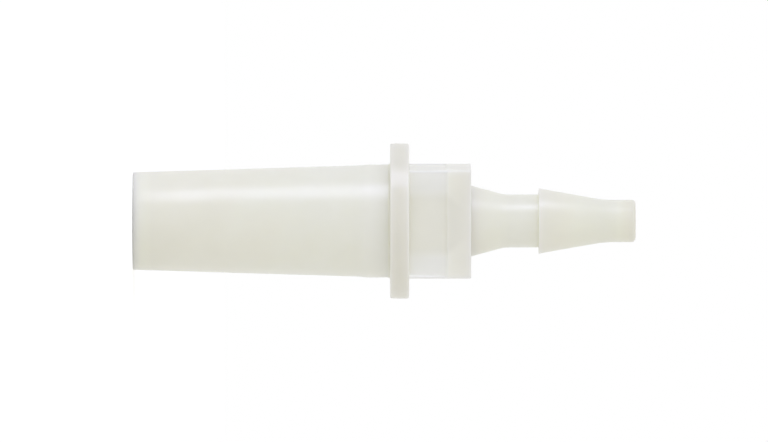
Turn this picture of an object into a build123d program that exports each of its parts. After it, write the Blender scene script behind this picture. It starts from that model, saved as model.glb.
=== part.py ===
from build123d import *
import os

# Male luer to hose barb fitting, moulded in one piece in natural polypropylene.
# From the bottom up: the luer cone, a short shank, a round flange that stops a
# separate lock ring, a square collar for the fingers, a cone, a neck and a single
# barb with a plain tip. One stepped bore runs through it from end to end.
# The axis is +Z, and the origin is the centre of the luer end face.

# ---- Driving dimensions, in millimetres ----

# Luer cone: the standard taper grows 6 percent in diameter over its length
luer_tip_diameter = 4.0
luer_taper_ratio = 0.06
luer_taper_length = 9.3
luer_edge_radius = 0.05

# Shank between the luer cone and the flange, a hair larger than the cone
shank_diameter = 4.63
shank_lead_length = 0.25
shank_length = 0.98
shank_root_radius = 0.1

# Round flange
flange_diameter = 6.35
flange_thickness = 0.78
flange_edge_radius = 0.07

# Square collar
collar_across_flats = 4.44
collar_length = 2.53
collar_corner_radius = 0.08
collar_end_edge_radius = 0.04

# Cone and neck below the barb
cone_base_diameter = 2.91
cone_length = 1.36
neck_diameter = 2.17
neck_length = 1.41

# Barb and tip
barb_diameter = 2.68
barb_ramp_length = 2.7
tip_diameter = 1.73
tip_length = 1.27
tip_edge_radius = 0.15

# Bore: wide in the luer half, narrowed by a conical shoulder inside the collar
luer_bore_diameter = 2.3
shoulder_length = 0.7
shoulder_to_collar_end = 0.27
barb_bore_diameter = 1.1

# ---- Heights along the axis, worked out from the lengths ----

shank_bottom = luer_taper_length + shank_lead_length
flange_bottom = shank_bottom + shank_length
collar_bottom = flange_bottom + flange_thickness
collar_top = collar_bottom + collar_length
neck_bottom = collar_top + cone_length
barb_bottom = neck_bottom + neck_length
tip_bottom = barb_bottom + barb_ramp_length
fitting_top = tip_bottom + tip_length

shoulder_top = collar_top - shoulder_to_collar_end
shoulder_bottom = shoulder_top - shoulder_length

luer_large_diameter = luer_tip_diameter + luer_taper_ratio * luer_taper_length

# ---- Fitting body ----

with BuildPart() as fitting_body:
    # Luer cone, shank and flange, turned about the axis
    with BuildSketch(Plane.XZ) as luer_half:
        with BuildLine() as luer_outline:
            Polyline(
                (0, 0),
                (luer_tip_diameter / 2, 0),
                (luer_large_diameter / 2, luer_taper_length),
                (shank_diameter / 2, shank_bottom),
                (shank_diameter / 2, flange_bottom),
                (flange_diameter / 2, flange_bottom),
                (flange_diameter / 2, collar_bottom),
                (0, collar_bottom),
                close=True,
            )
        make_face()
        flange_rim = luer_half.vertices().group_by(Axis.X)[-1]
        fillet(flange_rim, flange_edge_radius)
        shank_root = luer_half.vertices().sort_by_distance((shank_diameter / 2, flange_bottom))[0]
        fillet(shank_root, shank_root_radius)
        luer_edge = luer_half.vertices().sort_by_distance((luer_tip_diameter / 2, 0))[0]
        fillet(luer_edge, luer_edge_radius)
    revolve(axis=Axis.Z)

    # Square collar behind the flange, with a softened outer end
    with BuildSketch(Plane.XY.offset(collar_bottom)) as collar_section:
        RectangleRounded(collar_across_flats, collar_across_flats, collar_corner_radius)
    extrude(amount=collar_length)
    collar_end_edges = fitting_body.faces().sort_by(Axis.Z)[-1].edges()
    fillet(collar_end_edges, collar_end_edge_radius)

    # Cone, neck, barb and tip, turned about the axis
    with BuildSketch(Plane.XZ) as barb_half:
        with BuildLine() as barb_outline:
            Polyline(
                (0, collar_top),
                (cone_base_diameter / 2, collar_top),
                (neck_diameter / 2, neck_bottom),
                (neck_diameter / 2, barb_bottom),
                (barb_diameter / 2, barb_bottom),
                (tip_diameter / 2, tip_bottom),
                (tip_diameter / 2, fitting_top),
                (0, fitting_top),
                close=True,
            )
        make_face()
        tip_edge = barb_half.vertices().sort_by_distance((tip_diameter / 2, fitting_top))[0]
        fillet(tip_edge, tip_edge_radius)
    revolve(axis=Axis.Z)

    # Stepped bore through the whole length
    with BuildSketch(Plane.XZ) as bore_half:
        with BuildLine() as bore_outline:
            Polyline(
                (0, 0),
                (luer_bore_diameter / 2, 0),
                (luer_bore_diameter / 2, shoulder_bottom),
                (barb_bore_diameter / 2, shoulder_top),
                (barb_bore_diameter / 2, fitting_top),
                (0, fitting_top),
                close=True,
            )
        make_face()
    revolve(axis=Axis.Z, mode=Mode.SUBTRACT)

# ---- Export ----

os.makedirs("parts", exist_ok=True)
fitting_body.part.label = "fitting_body"
export_step(fitting_body.part, "parts/fitting_body.step")
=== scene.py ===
import math

import bmesh
import bpy
from mathutils import Matrix, Vector


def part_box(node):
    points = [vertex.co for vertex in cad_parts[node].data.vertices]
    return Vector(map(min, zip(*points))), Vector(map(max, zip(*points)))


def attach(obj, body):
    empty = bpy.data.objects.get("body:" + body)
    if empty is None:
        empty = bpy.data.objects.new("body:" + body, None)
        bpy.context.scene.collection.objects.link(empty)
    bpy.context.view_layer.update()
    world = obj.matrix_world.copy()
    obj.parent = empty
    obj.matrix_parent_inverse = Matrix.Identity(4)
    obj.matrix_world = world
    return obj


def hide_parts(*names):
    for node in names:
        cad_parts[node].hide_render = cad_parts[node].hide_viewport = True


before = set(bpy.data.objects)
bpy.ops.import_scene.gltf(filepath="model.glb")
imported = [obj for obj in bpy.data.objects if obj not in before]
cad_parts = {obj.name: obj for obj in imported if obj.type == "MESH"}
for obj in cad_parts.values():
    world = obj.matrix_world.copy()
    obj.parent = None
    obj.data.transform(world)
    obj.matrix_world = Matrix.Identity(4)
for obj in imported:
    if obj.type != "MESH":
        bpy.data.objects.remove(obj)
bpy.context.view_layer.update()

# ---------------------------------------------------------------------------
# Fitting body: a male luer cone, a stop flange, a square finger collar and one
# hose barb in line, with a stepped bore right through them. It is injection
# moulded in one piece from natural, milky polypropylene over two core pins.
# ---------------------------------------------------------------------------

mm = 0.001
body_low, body_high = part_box("fitting_body")
flange_radius = (body_high.x - body_low.x) / 2
fitting_top = body_high.z

# The luer cone's diameter grows by 6% of its length, and its mouth has small round edges
luer_tip_radius = 2.0 * mm
luer_large_radius = 2.279 * mm
luer_top = 9.3 * mm
luer_edge_radius = 0.05 * mm
luer_blend_radius = 0.15 * mm

# The shank stands a little proud of the cone and runs up to the stop flange
shank_radius = 2.315 * mm
shank_bottom = 9.55 * mm
shank_root_radius = 0.1 * mm
flange_bottom = 10.53 * mm
flange_top = 11.31 * mm
flange_edge_radius = 0.07 * mm

# The collar is square, for the fingers. Each flat has a panel that is sunk a hair, from
# the flange up to a plain band at the collar's end, and the band's middle sinks less
collar_half_width = 2.22 * mm
collar_top = 13.84 * mm
collar_corner_radius = 0.08 * mm
collar_end_edge_radius = 0.04 * mm
panel_end = 12.84 * mm
panel_half_width = 2.1 * mm
panel_slope = 0.04 * mm
panel_sink = 0.06 * mm
end_band_sink = 0.02 * mm

# A cone, a neck and one barb lead to the tip that the hose is pushed over
cone_base_radius = 1.455 * mm
neck_radius = 1.085 * mm
neck_bottom = 15.2 * mm
neck_blend_radius = 0.2 * mm
barb_radius = 1.34 * mm
barb_bottom = 16.61 * mm
barb_edge_radius = 0.02 * mm
tip_radius = 0.865 * mm
tip_bottom = 19.31 * mm
tip_blend_radius = 0.4 * mm
tip_edge_radius = 0.15 * mm

# The bore is wide through the luer half and narrows at a shoulder in the collar
bore_radius = 1.15 * mm
shoulder_bottom = 12.87 * mm
shoulder_top = 13.57 * mm
shoulder_edge_radius = 0.1 * mm
barb_bore_radius = 0.55 * mm
barb_bore_edge_radius = 0.04 * mm

# Half outline: out across the luer mouth, up the outside and back down the bore,
# each corner with its radius, its height and the edge radius the mould gives it
half_outline = [
    (bore_radius, 0.0, luer_edge_radius),
    (luer_tip_radius, 0.0, luer_edge_radius),
    (luer_large_radius, luer_top, luer_blend_radius),
    (shank_radius, shank_bottom, luer_blend_radius),
    (shank_radius, flange_bottom, shank_root_radius),
    (flange_radius, flange_bottom, flange_edge_radius),
    (flange_radius, flange_top, flange_edge_radius),
    (collar_half_width, flange_top, 0.0),
    (collar_half_width, collar_top, 0.0),
    (cone_base_radius, collar_top, 0.0),
    (neck_radius, neck_bottom, neck_blend_radius),
    (neck_radius, barb_bottom, barb_edge_radius),
    (barb_radius, barb_bottom, barb_edge_radius),
    (tip_radius, tip_bottom, tip_blend_radius),
    (tip_radius, fitting_top, tip_edge_radius),
    (barb_bore_radius, fitting_top, barb_bore_edge_radius),
    (barb_bore_radius, shoulder_top, shoulder_edge_radius),
    (bore_radius, shoulder_bottom, shoulder_edge_radius),
]
outline_edge_steps = 5
steps_around = 160


def round_off(bm, geometry, affect, radius, steps):
    bmesh.ops.bevel(
        bm, geom=geometry, affect=affect, offset=radius, offset_type="OFFSET",
        segments=steps, profile=0.5, material=-1,
    )


bm = bmesh.new()
outline_corners = []
for radius, height, edge_radius in half_outline:
    outline_corners.append(bm.verts.new((radius, 0.0, height)))
for corner, next_corner in zip(outline_corners, outline_corners[1:] + outline_corners[:1]):
    bm.edges.new((corner, next_corner))
for corner, (radius, height, edge_radius) in zip(outline_corners, half_outline):
    if edge_radius > 0.0:
        round_off(bm, [corner], "VERTICES", edge_radius, outline_edge_steps)
bmesh.ops.spin(
    bm, geom=bm.verts[:] + bm.edges[:], cent=(0, 0, 0), axis=(0, 0, 1),
    angle=math.tau, steps=steps_around, use_merge=True,
)
bmesh.ops.recalc_face_normals(bm, faces=bm.faces[:])

# The spin leaves the collar round, so its two rings are drawn out to a square, with
# flats that face X and Y
near = 0.001 * mm
collar_rings = []
for vert in bm.verts:
    in_collar = flange_top - near < vert.co.z < collar_top + near
    if in_collar and abs(vert.co.xy.length - collar_half_width) < near:
        collar_rings.append(vert)
for vert in collar_rings:
    reach = max(abs(vert.co.x), abs(vert.co.y))
    vert.co.x *= collar_half_width / reach
    vert.co.y *= collar_half_width / reach

# The mould rounds the collar's four upright edges and the rim of its end face. The
# spokes that cross the faces to its corners go first, which keeps the rounding clean
collar_corner_steps = 4
collar_end_steps = 3
ring_corners = [vert for vert in collar_rings if abs(abs(vert.co.x) - abs(vert.co.y)) < near]
upright_edges = []
corner_spokes = []
for edge in bm.edges:
    corner_ends = [vert for vert in edge.verts if vert in ring_corners]
    if len(corner_ends) == 2:
        upright_edges.append(edge)
    elif corner_ends and edge.other_vert(corner_ends[0]) not in collar_rings:
        corner_spokes.append(edge)
bmesh.ops.dissolve_edges(bm, edges=corner_spokes, use_verts=False)
round_off(bm, upright_edges, "EDGES", collar_corner_radius, collar_corner_steps)

collar_end_edges = []
for edge in bm.edges:
    at_top = all(abs(vert.co.z - collar_top) < near for vert in edge.verts)
    outside = all(vert.co.xy.length > cone_base_radius + near for vert in edge.verts)
    if at_top and outside:
        collar_end_edges.append(edge)
round_off(bm, collar_end_edges, "EDGES", collar_end_edge_radius, collar_end_steps)

# Cuts across the flats let their panels and the middle of the end band sink a little
end_band_middle = (panel_end + collar_top) / 2
end_band_cut_gap = 0.25 * mm
cut_snap = 0.0001 * mm
most_lean = 0.1
cut_heights = [panel_end - panel_slope, panel_end + panel_slope]
for step in (-1, 0, 1):
    cut_heights.append(end_band_middle + step * end_band_cut_gap)
cuts = []
for cut_height in cut_heights:
    cuts.append(((0, 0, cut_height), (0, 0, 1)))
for side in (-1, 1):
    for cut_across in (panel_half_width - panel_slope, panel_half_width + panel_slope):
        cuts.append(((side * cut_across, 0, 0), (1, 0, 0)))
        cuts.append(((0, side * cut_across, 0), (0, 1, 0)))

flat_faces = []
for face in bm.faces:
    middle = face.calc_center_median()
    upright = flange_top < middle.z < collar_top and abs(face.normal.z) < most_lean
    if upright and middle.xy.length > cone_base_radius:
        flat_faces.append(face)
for plane_point, plane_normal in cuts:
    flat_geometry = set(flat_faces)
    for face in flat_faces:
        flat_geometry.update(face.edges)
        flat_geometry.update(face.verts)
    cut = bmesh.ops.bisect_plane(
        bm, geom=list(flat_geometry), plane_co=plane_point, plane_no=plane_normal, dist=cut_snap,
    )
    flat_faces = [item for item in cut["geom"] if isinstance(item, bmesh.types.BMFace)]


# How much of its full sink a panel has reached, this far in from the start of its slope
def share_of_slope(way_in):
    return min(max(way_in / (2 * panel_slope), 0), 1)


for vert in {vert for face in flat_faces for vert in face.verts}:
    across = min(abs(vert.co.x), abs(vert.co.y))
    if vert.co.z < panel_end + panel_slope + near:
        end_share = share_of_slope(panel_end + panel_slope - vert.co.z)
        side_share = share_of_slope(panel_half_width + panel_slope - across)
        sink = panel_sink * end_share * side_share
    else:
        from_middle = (vert.co.z - end_band_middle) / (collar_top - panel_end) * 2
        sink = end_band_sink * max(1 - from_middle ** 2, 0) * (1 - (across / collar_half_width) ** 4)
    if abs(vert.co.x) > collar_half_width - near:
        vert.co.x -= math.copysign(sink, vert.co.x)
    elif abs(vert.co.y) > collar_half_width - near:
        vert.co.y -= math.copysign(sink, vert.co.y)
bmesh.ops.recalc_face_normals(bm, faces=bm.faces[:])


def add_to_scene(name, data):
    new_object = bpy.data.objects.new(name, data)
    bpy.context.collection.objects.link(new_object)
    return new_object


sharp_edge_angle = math.radians(28)
moulding_mesh = bpy.data.meshes.new("fitting_moulding")
bm.to_mesh(moulding_mesh)
bm.free()
moulding = add_to_scene("fitting_moulding", moulding_mesh)
for polygon in moulding_mesh.polygons:
    polygon.use_smooth = True
moulding_mesh.set_sharp_from_angle(angle=sharp_edge_angle)

# Natural polypropylene: light wanders inside it, its milky tone is painted lighter and
# darker from form to form as painted light and shade, the bore shows as a deeper painted
# shade through the flats, and the gloss is soft
scatter_depth = 0.5 * mm
natural = bpy.data.materials.new("natural_polypropylene")
natural.use_nodes = True
nodes = natural.node_tree.nodes
links = natural.node_tree.links
shader = nodes["Principled BSDF"]
shader.subsurface_method = "RANDOM_WALK"
shader.inputs["IOR"].default_value = 1.49
shader.inputs["Specular IOR Level"].default_value = 0.22
shader.inputs["Subsurface Weight"].default_value = 1.0
shader.inputs["Subsurface Scale"].default_value = scatter_depth
shader.inputs["Subsurface Radius"].default_value = (1.0, 1.0, 1.0)

place = nodes.new("ShaderNodeTexCoord")
axes = nodes.new("ShaderNodeSeparateXYZ")
links.new(place.outputs["Object"], axes.inputs["Vector"])


# Each of these adds a node to the material in hand and gives back the node's result
def math_node(operation, first, second=0.0):
    node = nodes.new("ShaderNodeMath")
    node.operation = operation
    for socket, value in zip(node.inputs, (first, second)):
        if isinstance(value, bpy.types.NodeSocket):
            links.new(value, socket)
        else:
            socket.default_value = value
    return node.outputs["Value"]


def range_node(value, from_min, from_max, to_min, to_max, kind="SMOOTHSTEP"):
    node = nodes.new("ShaderNodeMapRange")
    node.interpolation_type = kind
    node.inputs["From Min"].default_value = from_min
    node.inputs["From Max"].default_value = from_max
    node.inputs["To Min"].default_value = to_min
    node.inputs["To Max"].default_value = to_max
    links.new(value, node.inputs["Value"])
    return node.outputs["Result"]


def noise_node(size, detail):
    node = nodes.new("ShaderNodeTexNoise")
    node.inputs["Scale"].default_value = 1.0 / size
    node.inputs["Detail"].default_value = detail
    node.inputs["Roughness"].default_value = 0.5
    links.new(place.outputs["Object"], node.inputs["Vector"])
    return node.outputs["Fac"]


def patchy_node(size, detail, least, most):
    noise_low = 0.3
    noise_high = 0.7
    return range_node(noise_node(size, detail), noise_low, noise_high, least, most, "LINEAR")


height_here = axes.outputs["Z"]
side_x = math_node("ABSOLUTE", axes.outputs["X"])
side_y = math_node("ABSOLUTE", axes.outputs["Y"])

# Milky tone along the fitting, painted lighter or darker form by form as painted light and
# shade: lighter at the luer mouth and the shank, to make up for the shade of the table and
# the flange, and darker on the flange, the collar's end and the tip's end. Heights, each
# with its colour
tones_with_painted_shade = [
    # Luer mouth and cone; the mouth is painted lighter against the table's shade
    (0.0, (1.0, 0.99, 0.85)),
    (0.15 * mm, (0.99, 0.979, 0.83)),
    (0.8 * mm, (0.905, 0.895, 0.792)),
    (5.0 * mm, (0.936, 0.926, 0.815)),
    (luer_top - 0.2 * mm, (0.946, 0.937, 0.827)),
    # Shank, painted lighter against the flange's shade
    (shank_bottom + 0.15 * mm, (0.995, 0.985, 0.845)),
    (flange_bottom - 0.08 * mm, (0.998, 0.988, 0.85)),
    # Stop flange, painted darker as shade
    (flange_bottom + 0.02 * mm, (0.832, 0.819, 0.742)),
    (flange_top - 0.02 * mm, (0.832, 0.819, 0.742)),
    # Panels of the collar, then its end band, painted darker as shade towards the collar's end
    (flange_top + 0.02 * mm, (0.992, 0.983, 0.885)),
    (panel_end - 0.09 * mm, (0.985, 0.976, 0.88)),
    (panel_end + 0.16 * mm, (0.93, 0.921, 0.835)),
    (collar_top, (0.845, 0.835, 0.77)),
    # Cone and neck
    (collar_top + 0.36 * mm, (0.91, 0.9, 0.81)),
    (neck_bottom, (0.98, 0.968, 0.82)),
    (barb_bottom - 0.06 * mm, (0.98, 0.968, 0.82)),
    # Barb and tip, painted darker as shade at the tip's end
    (barb_bottom + 0.04 * mm, (0.885, 0.873, 0.783)),
    (18.3 * mm, (0.945, 0.932, 0.8)),
    (19.9 * mm, (0.964, 0.949, 0.794)),
    (20.35 * mm, (0.855, 0.838, 0.725)),
    (fitting_top, (0.80, 0.782, 0.67)),
]
length_share = range_node(height_here, 0.0, fitting_top, 0.0, 1.0, "LINEAR")
painted_tone_ramp = nodes.new("ShaderNodeValToRGB")
links.new(length_share, painted_tone_ramp.inputs["Fac"])
stops = painted_tone_ramp.color_ramp.elements
for number, (stop_height, colour) in enumerate(tones_with_painted_shade):
    share = stop_height / fitting_top
    if number == len(stops):
        stops.new(share)
    stops[number].position = share
    stops[number].color = (*colour, 1.0)

# The bore's painted shade on the flats: deepest over the hollow, fainter over its narrow
# part, and only between the flange and the rounded rim of the collar's end
bore_shade = 0.062
narrow_bore_share = 0.3
shade_inside_edge = 0.15 * mm
shade_outside_edge = 0.25 * mm
shade_start_blend = 0.01 * mm
shade_end = collar_top - collar_end_edge_radius
shade_end_blend = 0.02 * mm
bore_here = range_node(
    height_here, shoulder_bottom, shoulder_top, bore_radius, barb_bore_radius, "LINEAR",
)
across_flat = math_node("MINIMUM", side_x, side_y)
beyond_bore = math_node("SUBTRACT", across_flat, bore_here)
over_bore = range_node(beyond_bore, -shade_inside_edge, shade_outside_edge, 1.0, 0.0)
above_flange = range_node(
    height_here, flange_top - shade_start_blend, flange_top + shade_start_blend, 0.0, 1.0,
)
below_end = range_node(
    height_here, shade_end - shade_end_blend, shade_end + shade_end_blend, 1.0, 0.0,
)
on_collar = math_node("MULTIPLY", above_flange, below_end)
narrow_bore = range_node(height_here, panel_end, shoulder_top, 1.0, narrow_bore_share)
bore_share = math_node("MULTIPLY", math_node("MULTIPLY", over_bore, narrow_bore), on_collar)
bore_darkening = math_node("MULTIPLY", bore_share, bore_shade)

# Slow mottling in the melt
mottle_size = 1.6 * mm
mottle_shade = 0.025
mottle_darkening = patchy_node(mottle_size, detail=2.0, least=0.0, most=mottle_shade)
tone_left = math_node("SUBTRACT", math_node("SUBTRACT", 1.0, bore_darkening), mottle_darkening)
shaded_tone = nodes.new("ShaderNodeVectorMath")
shaded_tone.operation = "SCALE"
links.new(painted_tone_ramp.outputs["Color"], shaded_tone.inputs["Vector"])
links.new(tone_left, shaded_tone.inputs["Scale"])
links.new(shaded_tone.outputs["Vector"], shader.inputs["Base Color"])

# Soft moulded gloss, a little uneven
gloss_patch_size = 0.9 * mm
smoothest = 0.285
roughest = 0.345
gloss = patchy_node(gloss_patch_size, detail=3.0, least=smoothest, most=roughest)
links.new(gloss, shader.inputs["Roughness"])

# Relief in millimetres: faint waves, fine grain and, on the barb half, the hair line
# where the two mould halves meet
wave_size = 0.8 * mm
wave_relief = 0.0015
grain_size = 0.09 * mm
grain_relief = 0.0006
seam_half_width = 0.03 * mm
seam_relief = 0.006
seam_fade = 0.2 * mm
waves = math_node("MULTIPLY", noise_node(wave_size, detail=1.0), wave_relief)
grain = math_node("MULTIPLY", noise_node(grain_size, detail=2.0), grain_relief)
seam_line = range_node(side_y, 0.0, seam_half_width, seam_relief, 0.0)
on_barb_half = range_node(height_here, flange_top, flange_top + seam_fade, 0.0, 1.0)
seam = math_node("MULTIPLY", seam_line, on_barb_half)
relief = math_node("ADD", math_node("ADD", waves, grain), seam)
bump = nodes.new("ShaderNodeBump")
bump.inputs["Strength"].default_value = 1.0
bump.inputs["Distance"].default_value = mm
links.new(relief, bump.inputs["Height"])
links.new(bump.outputs["Normal"], shader.inputs["Normal"])
moulding_mesh.materials.append(natural)

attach(moulding, "root")
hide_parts("fitting_body")

# ---------------------------------------------------------------------------
# Table: a wide sheet of matt white paper that the fitting stands on. It keeps
# the soft shadow, and looks white where nothing shades it.
# ---------------------------------------------------------------------------

table_radius = 0.35
table_sides = 96
paper_white = 0.92
paper_roughness = 0.8
paper_glow = 0.29

table_mesh = bpy.data.meshes.new("table_top")
bm = bmesh.new()
bmesh.ops.create_circle(bm, cap_ends=True, segments=table_sides, radius=table_radius)
bm.to_mesh(table_mesh)
bm.free()
table_top = add_to_scene("table_top", table_mesh)

white_paper = bpy.data.materials.new("white_paper")
white_paper.use_nodes = True
nodes = white_paper.node_tree.nodes
links = white_paper.node_tree.links
paper_shader = nodes["Principled BSDF"]
paper_shader.inputs["Base Color"].default_value = (paper_white, paper_white, paper_white, 1.0)
paper_shader.inputs["Roughness"].default_value = paper_roughness
paper_shader.inputs["Emission Color"].default_value = (1.0, 1.0, 1.0, 1.0)


# Gives 1 where the paper or the room is looked at, straight, in a gloss or through
# something clear, and 0 where it lights things
def seen_node():
    ray = nodes.new("ShaderNodeLightPath")
    seen = math_node("MAXIMUM", ray.outputs["Is Camera Ray"], ray.outputs["Is Glossy Ray"])
    return math_node("MAXIMUM", seen, ray.outputs["Is Transmission Ray"])


glow_where_seen = math_node("MULTIPLY", seen_node(), paper_glow)
links.new(glow_where_seen, paper_shader.inputs["Emission Strength"])
table_mesh.materials.append(white_paper)

# ---------------------------------------------------------------------------
# Studio light, high and low as the camera sees it: an even white room, a large
# softbox high in front, a low warm fill, a narrow card that draws the long soft
# highlight, and a short one that carries it on down to the luer mouth.
# ---------------------------------------------------------------------------

room_light = 0.73
room_seen = 1.0
world = bpy.data.worlds.new("white_room")
world.use_nodes = True
bpy.context.scene.world = world
nodes = world.node_tree.nodes
links = world.node_tree.links
background = nodes["Background"]
background.inputs["Color"].default_value = (1.0, 1.0, 1.0, 1.0)
room_strength = range_node(seen_node(), 0.0, 1.0, room_light, room_seen, "LINEAR")
links.new(room_strength, background.inputs["Strength"])

# The view is turned a little from square on to the collar's flat. Each lamp stands
# upright on the table and faces the fitting, and its rise is its turn about the
# fitting from the camera's side towards the top of the view
view_turn = math.radians(-3.7)
toward_camera = Vector((math.sin(view_turn), -math.cos(view_turn), 0.0))
along_fitting = Vector((0.0, 0.0, 1.0))
view_up = toward_camera.cross(along_fitting)
daylight = (0.945, 0.96, 1.27)
warm_white = (1.08, 0.94, 0.66)

# A lamp of brightness 1 looks as bright as the white room, for this energy over its area
energy_per_area = 4.0


def standing_lamp(name, colour, rise, width, length, distance, brightness):
    lamp = bpy.data.lights.new(name, "AREA")
    lamp.color = colour
    lamp.shape = "RECTANGLE"
    lamp.size = width
    lamp.size_y = length
    lamp.energy = brightness * energy_per_area * width * length
    lamp_object = add_to_scene(name, lamp)
    outward = toward_camera * math.cos(rise) + view_up * math.sin(rise)
    sideways = along_fitting.cross(outward)
    turn = Matrix((sideways, along_fitting, outward)).transposed().to_4x4()
    lamp_place = outward * distance + along_fitting * length / 2
    lamp_object.matrix_world = Matrix.Translation(lamp_place) @ turn
    lamp_object.visible_camera = False
    return lamp_object


key_softbox = standing_lamp(
    "key_softbox", daylight, rise=math.radians(50),
    width=0.24, length=0.20, distance=0.30, brightness=0.80,
)
key_softbox.visible_glossy = False
low_fill = standing_lamp(
    "low_fill", warm_white, rise=math.radians(-70),
    width=0.24, length=0.20, distance=0.30, brightness=0.20,
)
low_fill.visible_glossy = False
highlight_card = standing_lamp(
    "highlight_card", daylight, rise=math.radians(60),
    width=6.0 * mm, length=20.6 * mm, distance=14.0 * mm, brightness=6.8,
)
highlight_card.visible_diffuse = False
mouth_card = standing_lamp(
    "mouth_card", daylight, rise=math.radians(47),
    width=1.6 * mm, length=2.5 * mm, distance=4.65 * mm, brightness=4.6,
)
mouth_card.visible_diffuse = False

# ---------------------------------------------------------------------------
# Camera: level with the middle of the fitting, lying on its side so that the
# luer end points left, and far off with a long lens.
# ---------------------------------------------------------------------------

view_middle = Vector((0.0, 0.0, 10.28 * mm))
view_width = 31.46 * mm
camera_data = bpy.data.cameras.new("camera")
camera_data.sensor_width = 36.0
camera_data.lens = 700.0
camera_data.clip_start = 0.05
camera_data.clip_end = 3.0
camera_distance = camera_data.lens / camera_data.sensor_width * view_width
camera = add_to_scene("camera", camera_data)
camera_turn = Matrix((along_fitting, view_up, toward_camera)).transposed().to_4x4()
camera.matrix_world = Matrix.Translation(view_middle + toward_camera * camera_distance) @ camera_turn
bpy.context.scene.camera = camera

bpy.context.scene.view_settings.view_transform = "Standard"
